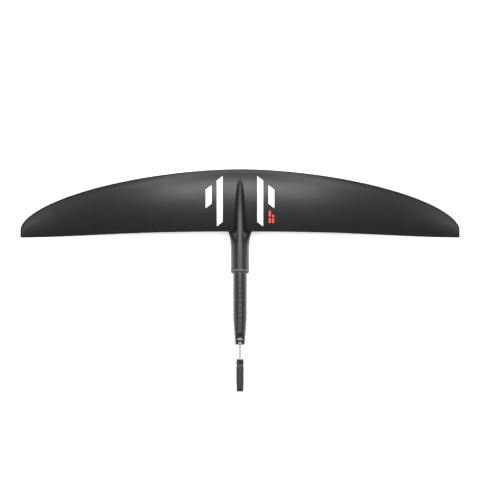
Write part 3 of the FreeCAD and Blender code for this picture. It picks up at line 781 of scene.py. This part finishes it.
FORK_SLOT_HALF = 6.75 * MM
FORK_SLOT_FLOOR = -13.4 * MM         # a thin floor under the slot
FORK_SLOT_END = -138 * MM
FORK_CHAMFER = 2.6 * MM
FORK_CHAMFER_LOW = 8 * MM
FORK_CHAMFER_HIGH = 13 * MM
ROPE_NOTCH_HALF = 2.3 * MM
ROPE_NOTCH_END = -149.2 * MM
PLUG_BORE = 3.2 * MM
PIN_BORE = 2.5 * MM
PAST = 30 * MM                       # cutters reach this far beyond what they cut
TENON_COLUMNS = 96
TENON_ROWS = 300
PAD_COUNT = 9
PAD_FIRST = -22 * MM
END_ROUND = 0.8 * MM


class FRONTWING_OT_tenon(bpy.types.Operator):
    """Shape the tenon with its rail, pads and forked end"""

    bl_idname = "front_wing.tenon"
    bl_label = "Tenon"

    def point(self, around, along):
        y = TENON_ROOT + (TENON_END - TENON_ROOT) * along
        angle = around * math.tau
        side = 1 if math.sin(angle) >= 0 else -1
        rounding = stepped(TENON_END + END_ROUND - y, 0, END_ROUND) * END_ROUND
        x, z = tenon_outline(math.cos(angle), side, y, -rounding)
        if side > 0 and y < GASKET_LOW.y:
            groove = math.exp(-((abs(x) - 6.7 * MM) / (1.3 * MM)) ** 2)
            z -= sizes().rail_rise * groove * stepped(math.sin(angle), 0.05, 0.4)
            nearest = min(range(PAD_COUNT), key=lambda i: abs(y - PAD_FIRST + i * sizes().pad_pitch))
            away = abs(y - PAD_FIRST + nearest * sizes().pad_pitch)
            pad = (1 - stepped(away, 2.4 * MM, 3.9 * MM)) * (1 - stepped(abs(x), 2.0 * MM, 3.4 * MM))
            z += sizes().pad_rise * pad
        return Vector((x, y, z))

    def execute(self, context):
        bm = bmesh.new()
        placed_grid(bm, TENON_COLUMNS, TENON_ROWS, self.point)
        bmesh.ops.remove_doubles(bm, verts=bm.verts, dist=MERGE)
        bmesh.ops.holes_fill(bm, edges=[e for e in bm.edges if e.is_boundary], sides=0)
        tenon = finished(bm, "tenon_moulding")

        floor = FORK_SLOT_FLOOR
        round_centre = FORK_SLOT_END - FORK_SLOT_HALF
        wide = FORK_SLOT_HALF + FORK_CHAMFER
        bm = bmesh.new()
        box_between(bm, (-FORK_SLOT_HALF, TENON_END * 1.1, floor), (FORK_SLOT_HALF, round_centre, PAST))
        slot = finished(bm, "slot")
        bm = bmesh.new()
        box_between(bm, (-ROPE_NOTCH_HALF, TENON_END * 1.1, -PAST),
                    (ROPE_NOTCH_HALF, ROPE_NOTCH_END, FORK_SLOT_FLOOR + 1.4 * MM))
        notch = finished(bm, "rope_notch")
        bm = bmesh.new()
        turned_profile(bm, [(floor, 0), (floor, FORK_SLOT_HALF), (FORK_CHAMFER_LOW, FORK_SLOT_HALF),
                            (FORK_CHAMFER_HIGH, wide), (PAST, wide), (PAST, 0)],
                       (0, round_centre, 0), (0, 0, 1), 64)
        slot_round = finished(bm, "slot_round")
        middle = (PIN_LOW.y + PIN_HIGH.y) / 2
        sink = PIN_HIGH.x
        bm = bmesh.new()
        profile = [(-PAST, 0), (-PAST, PLUG_BORE), (-sink, PLUG_BORE), (-sink, PIN_BORE),
                   (sink, PIN_BORE), (sink, PLUG_BORE), (PAST, PLUG_BORE), (PAST, 0)]
        turned_profile(bm, profile, (0, middle, 0), (1, 0, 0), 48)
        bore = finished(bm, "bore")
        tenon = carved(tenon, slot, slot_round, notch, bore)
        # Short-fibre carbon pressed in a mould and coated: black, satin, with the mould's fine grain.
        coat = moulded("moulded carbon, satin black coat", colours().tenon, 0.40, 0.9 * MM, 0.03 * MM)
        shown(tenon, "wing", coat, "tenon_coat", "tenon")
        return {"FINISHED"}


class FRONTWING_OT_gasket(bpy.types.Operator):
    """Make the rubber gasket that the fuselage seats on"""

    bl_idname = "front_wing.gasket"
    bl_label = "Seat gasket"

    def point(self, around, across):
        angle = around * math.tau
        side = 1 if math.sin(angle) >= 0 else -1
        inner_x, inner_z = tenon_outline(math.cos(angle), side, 0, 0.1 * MM)
        waist_run = STUB_TOP - STUB_WAIST if side > 0 else STUB_WAIST - STUB_BOTTOM
        outer_x = GASKET_HIGH.x * math.cos(angle)
        outer_z = STUB_WAIST + (waist_run - GASKET_INSET) * math.sin(angle)
        if side > 0:
            outer_z = STUB_WAIST + (waist_run - GASKET_INSET) * arch(math.cos(angle))
        turn = across * math.tau
        bulge = 0.35
        radial = 0.5 + 0.5 * math.copysign(abs(math.cos(turn)) ** bulge, math.cos(turn))
        deep = 0.5 + 0.5 * math.copysign(abs(math.sin(turn)) ** bulge, math.sin(turn))
        z = inner_z + (outer_z - inner_z) * radial
        return Vector((inner_x + (outer_x - inner_x) * radial, GASKET_THICKNESS * deep + z * SEAT_TAN, z))

    def execute(self, context):
        bm = bmesh.new()
        placed_grid(bm, 96, 32, self.point)
        gasket = finished(bm, "seat_gasket")
        # Moulded rubber: grey, dull and slightly uneven.
        rubber = moulded("EPDM rubber", colours().gasket, 0.55, 1.2 * MM, 0.05 * MM)
        shown(gasket, "wing", rubber, "gasket_rubber", "end_gasket")
        return {"FINISHED"}


class FRONTWING_OT_pin(bpy.types.Operator):
    """Turn the clevis pin and its two plugs"""

    bl_idname = "front_wing.pin"
    bl_label = "Clevis pin and plugs"

    def execute(self, context):
        middle = (PIN_LOW + PIN_HIGH) / 2
        reach = PIN_HIGH.x
        radius = (PIN_HIGH.z - PIN_LOW.z) / 2
        break_edge = 0.4 * MM
        bm = bmesh.new()
        turned_profile(bm, [(-reach, 0), (-reach, radius - break_edge), (-reach + break_edge, radius),
                            (reach - break_edge, radius), (reach, radius - break_edge), (reach, 0)],
                       middle, (1, 0, 0))
        pin = finished(bm, "clevis_pin_turned")
        shown(pin, "wing", turned_metal("ground stainless steel", colours().steel, 0.22, (14, 1, 1)),
              "steel", "clevis_pin")
        low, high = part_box("pin_plugs")
        radius = (high.z - low.z) / 2
        bm = bmesh.new()
        for hand in (-1, 1):
            start = reach * hand
            end = high.x * hand
            edge = 0.3 * MM * hand
            dish = 0.35 * MM * hand
            turned_profile(bm, [(start, 0), (start, radius), (end - edge, radius),
                                (end - edge * 0.3, radius - abs(edge) * 0.3), (end, radius - abs(edge)),
                                (end, radius * 0.62), (end - dish, radius * 0.5), (end - dish, 0)],
                           middle, (1, 0, 0), 48)
        plugs = finished(bm, "pin_plugs_moulded")
        # Injection-moulded nylon: black with a low, even sheen.
        nylon = moulded("black nylon", colours().anchor, 0.5, 0.8 * MM, 0.03 * MM)
        shown(plugs, "wing", nylon, "tenon_coat", "pin_plugs")
        return {"FINISHED"}


class FRONTWING_OT_terminal(bpy.types.Operator):
    """Machine the rope's terminal and its bush"""

    bl_idname = "front_wing.terminal"
    bl_label = "Rope terminal"

    def execute(self, context):
        middle = Vector((0, (BUSH_LOW.y + BUSH_HIGH.y) / 2, 0))
        wide = TERMINAL_HIGH.x
        eye = TERMINAL_HIGH.z
        shank = 3.9 * MM
        length = middle.y - TERMINAL_LOW.y
        bm = bmesh.new()
        start = math.acos(-math.sqrt(1 - (shank / eye) ** 2))
        arc = [start - 2 * start * i / 40 for i in range(41)]
        outline = [(eye * math.cos(a), eye * math.sin(a)) for a in arc]
        outline += [(-length, -shank), (-length, shank)]
        verts = [bm.verts.new((-wide, middle.y + forward, up)) for forward, up in outline]
        face = bm.faces.new(verts)
        made = bmesh.ops.extrude_face_region(bm, geom=[face])["geom"]
        moved = [item for item in made if isinstance(item, bmesh.types.BMVert)]
        bmesh.ops.translate(bm, verts=moved, vec=(2 * wide, 0, 0))
        body = finished(bm, "rope_terminal")
        bush_radius = (BUSH_HIGH.z - BUSH_LOW.z) / 2
        bm = bmesh.new()
        turned_profile(bm, [(-wide * 2, 0), (-wide * 2, bush_radius), (wide * 2, bush_radius), (wide * 2, 0)],
                       middle, (1, 0, 0))
        hole = finished(bm, "hole")
        bm = bmesh.new()
        turned_profile(bm, [(-length - MM, 0), (-length - MM, ROPE_DIAMETER / 2 + 0.1 * MM),
                            (-length + 6 * MM, ROPE_DIAMETER / 2 + 0.1 * MM), (-length + 6 * MM, 0)],
                       middle, (0, 1, 0), 32)
        rope_hole = finished(bm, "rope_hole")
        body = bevelled(carved(body, hole, rope_hole), sizes().bevel * 1.4)
        # Machined and bead-blasted: grey with a soft sheen and hardly any tool marks.
        steel = turned_metal("bead-blasted stainless steel", shade(colours().steel, 1.25), 0.5, (1, 1, 6))
        shown(body, "cable", steel, "steel", "cable_terminal")
        inner = PIN_HIGH.z + 0.05 * MM
        bm = bmesh.new()
        turned_profile(bm, [(-wide, inner), (-wide, bush_radius - 0.05 * MM), (wide, bush_radius - 0.05 * MM),
                            (wide, inner), (-wide, inner)], middle, (1, 0, 0))
        bush = finished(bm, "terminal_bush_turned")
        # Pressed powder, oiled: brown and dull, with rings from sizing.
        bronze = turned_metal("sintered bronze", colour("#8a6a3c"), 0.4, (10, 1, 1))
        shown(bush, "cable", bronze, "bronze", "terminal_bush")
        return {"FINISHED"}


class FRONTWING_OT_anchor(bpy.types.Operator):
    """Machine the anchor, its cross barrel and its threaded insert"""

    bl_idname = "front_wing.anchor"
    bl_label = "Anchor"

    def execute(self, context):
        size = sizes()
        nose, tail = ANCHOR_HIGH.y, ANCHOR_LOW.y
        radius = ANCHOR_HIGH.x
        nose_radius = radius - 1.45 * MM
        tail_radius = radius - 0.85 * MM
        barrel_y = (BARREL_LOW.y + BARREL_HIGH.y) / 2
        bm = bmesh.new()
        profile = [(0, 0), (0, nose_radius - 0.9 * MM), (0.25 * MM, nose_radius - 0.3 * MM),
                   (0.9 * MM, nose_radius), (3.2 * MM, nose_radius + 1.0 * MM), (6 * MM, radius),
                   (nose - tail - 19 * MM, radius), (nose - tail - 15 * MM, radius - 0.2 * MM),
                   (nose - tail - 1.2 * MM, tail_radius), (nose - tail - 0.3 * MM, tail_radius - 0.5 * MM),
                   (nose - tail, tail_radius - 1.2 * MM), (nose - tail, 0)]
        turned_profile(bm, profile, (0, nose, 0), (0, -1, 0), 96)
        body = finished(bm, "anchor_machined")
        slot_half = 2 * MM
        cutters = []
        bm = bmesh.new()
        box_between(bm, (-slot_half, barrel_y, -slot_half), (slot_half, nose + 5 * MM, 20 * MM))
        cutters.append(finished(bm, "rope_slot"))
        bm = bmesh.new()
        turned_profile(bm, [(-slot_half, 0), (-slot_half, slot_half * 1.35), (20 * MM, slot_half * 1.35),
                            (20 * MM, 0)], (0, barrel_y, 0), (0, 0, 1), 40)
        cutters.append(finished(bm, "slot_round"))
        mouth = [(-4.5 * MM, nose + 0.1 * MM), (4.5 * MM, nose + 0.1 * MM), (0, nose - 4 * MM)]
        bm = bmesh.new()
        face = bm.faces.new([bm.verts.new((x, y, -20 * MM)) for x, y in mouth])
        made = bmesh.ops.extrude_face_region(bm, geom=[face])["geom"]
        moved = [item for item in made if isinstance(item, bmesh.types.BMVert)]
        bmesh.ops.translate(bm, verts=moved, vec=(0, 0, 40 * MM))
        cutters.append(finished(bm, "mouth"))
        barrel_radius = BARREL_HIGH.z
        bm = bmesh.new()
        turned_profile(bm, [(-20 * MM, 0), (-20 * MM, barrel_radius + 0.05 * MM),
                            (20 * MM, barrel_radius + 0.05 * MM), (20 * MM, 0)],
                       (0, barrel_y, 0), (1, 0, 0), 48)
        cutters.append(finished(bm, "barrel_seat"))
        flat = tail_radius - 0.4 * MM
        for low, high in ((flat, 20 * MM), (-20 * MM, -flat)):
            bm = bmesh.new()
            box_between(bm, (-20 * MM, tail - 5 * MM, low), (20 * MM, tail + 15 * MM, high))
            cutters.append(finished(bm, "flat"))
        insert_radius = INSERT_HIGH.x
        bm = bmesh.new()
        turned_profile(bm, [(-5 * MM, 0), (-5 * MM, insert_radius), (INSERT_HIGH.y - tail, insert_radius),
                            (INSERT_HIGH.y - tail, 3.75 * MM), (32 * MM, 3.75 * MM), (32 * MM, 0)],
                       (0, tail, 0), (0, 1, 0), 64)
        cutters.append(finished(bm, "insert_seat"))
        body = bevelled(carved(body, *cutters), size.bevel)
        # Turned, milled and hard-anodised: dark grey oxide with a dry sheen.
        coat = moulded("hard-anodised aluminium, satin black", colours().anchor, 0.38, 0.7 * MM, 0.02 * MM)
        shown(body, "anchor", coat, "anchor_coat", "anchor_body")

        half = BARREL_HIGH.x
        edge = 0.5 * MM
        bm = bmesh.new()
        turned_profile(bm, [(-half, 0), (-half, barrel_radius - edge), (-half + edge, barrel_radius),
                            (half - edge, barrel_radius), (half, barrel_radius - edge), (half, 0)],
                       (0, barrel_y, 0), (1, 0, 0))
        barrel = finished(bm, "cross_barrel")
        shown(barrel, "cable", turned_metal("swaged stainless steel", colours().steel, 0.3, (10, 1, 1)),
              "steel", "cable_barrel")

        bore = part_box("threaded_insert")[1].x - 1.85 * MM
        depth = INSERT_HIGH.y - tail
        thread = 0.55 * size.thread_pitch
        profile = [(0, bore + thread), (0, insert_radius - 0.3 * MM), (0.3 * MM, insert_radius - 0.02 * MM),
                   (depth, insert_radius - 0.02 * MM), (depth, bore + thread)]
        count = int(depth / size.thread_pitch)
        for i in range(count, 0, -1):
            profile.append(((i - 0.5) * size.thread_pitch, bore))
            profile.append(((i - 1) * size.thread_pitch, bore + thread))
        bm = bmesh.new()
        turned_profile(bm, profile, (0, tail, 0), (0, 1, 0), 48)
        insert = finished(bm, "threaded_insert_turned")
        # Turned bar: brown with fine rings round the bore.
        bronze = turned_metal("turned bronze", colour("#8f7245"), 0.32, (1, 12, 1))
        shown(insert, "anchor", bronze, "bronze", "threaded_insert")
        return {"FINISHED"}


class FRONTWING_OT_inside(bpy.types.Operator):
    """Fit the ridge's core and finish the pieces sealed inside the wing"""

    bl_idname = "front_wing.inside"
    bl_label = "Inner pieces"

    def execute(self, context):
        foam = closed_foam(colour("#d9c9a0"))
        wall = 4 * MM

        def core_point(upper):
            def place(across, along):
                y = TAIL + 3 * MM + (SPINE_POINT - 40 * MM - TAIL) * along
                left = 1 - (y - TAIL) / (SPINE_POINT - TAIL)
                reach = WIDE * left ** 0.55 * 0.36
                x = reach * (2 * across - 1)
                base = top_point(x, y, -RIDGE_HEIGHT * left ** 1.2 * bell(abs(x) / (WIDE * left ** 0.55)))
                height = max(top_point(x, y, -wall).z - base.z, 0) if upper else 0
                return base + Vector((0, 0, height * bell(2 * across - 1)))
            return place

        bm = bmesh.new()
        for upper in (True, False):
            placed_grid(bm, 24, 40, core_point(upper))
        bmesh.ops.remove_doubles(bm, verts=bm.verts, dist=MERGE)
        bmesh.ops.holes_fill(bm, edges=[e for e in bm.edges if e.is_boundary], sides=0)
        core = finished(bm, "ridge_core")
        shown(core, "wing", foam, "foam", "spine_core")

        # Sealed inside, and seen only when the wing is cut open: bare carbon, and a pulled glass rod.
        layers = moulded("unidirectional carbon, uncoated", colour("#1b1b1c"), 0.5, 1.0 * MM, 0.05 * MM)
        block = moulded("pressed carbon block", colour("#202021"), 0.55, 1.5 * MM, 0.05 * MM)
        rod = moulded("pultruded glass rod", colour("#c8c2a4"), 0.45, 0.5 * MM, 0.02 * MM)
        finishes = {
            "spar_cap_upper": layers, "spar_cap_lower": layers, "shear_web": layers,
            "core_front_left": foam, "core_front_right": foam, "core_rear_left": foam,
            "core_rear_right": foam, "root_block_front": block, "root_block_rear": block,
            "tenon_dowels": rod,
        }
        for name, finish in finishes.items():
            give(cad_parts[name], finish)
        return {"FINISHED"}


class FRONTWING_OT_declare_rope(bpy.types.Operator):
    """Read the points along the rope's route; they are not kept"""

    bl_idname = "front_wing.declare_rope"
    bl_label = "Rope facts"

    def execute(self, context):
        path = [list(point) for point in route_points(ROPE_ROUTE)]
        return {"FINISHED"}


OPERATORS = (
    FRONTWING_OT_stage, FRONTWING_OT_rope, FRONTWING_OT_laminate, FRONTWING_OT_markings,
    FRONTWING_OT_tenon, FRONTWING_OT_gasket, FRONTWING_OT_pin, FRONTWING_OT_terminal,
    FRONTWING_OT_anchor, FRONTWING_OT_inside, FRONTWING_OT_declare_rope,
)


class FRONTWING_PT_panel(bpy.types.Panel):
    """Sizes, colours and pieces of the front wing"""

    bl_idname = "FRONTWING_PT_panel"
    bl_label = "Front wing"
    bl_space_type = "VIEW_3D"
    bl_region_type = "UI"
    bl_category = "Front wing"

    def draw(self, context):
        for group in (context.scene.front_wing_sizes, context.scene.front_wing_colours):
            box = self.layout.box()
            for name in group.__annotations__:
                box.prop(group, name)
        for operator in OPERATORS:
            self.layout.operator(operator.bl_idname)


CLASSES = (FrontWingSizes, FrontWingColours, *OPERATORS, FRONTWING_PT_panel)


def register():
    for item in CLASSES:
        bpy.utils.register_class(item)
    bpy.types.Scene.front_wing_sizes = bpy.props.PointerProperty(type=FrontWingSizes)
    bpy.types.Scene.front_wing_colours = bpy.props.PointerProperty(type=FrontWingColours)


def unregister():
    del bpy.types.Scene.front_wing_colours
    del bpy.types.Scene.front_wing_sizes
    for item in reversed(CLASSES):
        bpy.utils.unregister_class(item)


def main():
    register()
    for name in ("stage", "rope", "laminate", "markings", "tenon", "gasket", "pin", "terminal", "anchor",
                 "inside", "declare_rope"):
        getattr(bpy.ops.front_wing, name)()


if __name__ == "__main__":
    main()
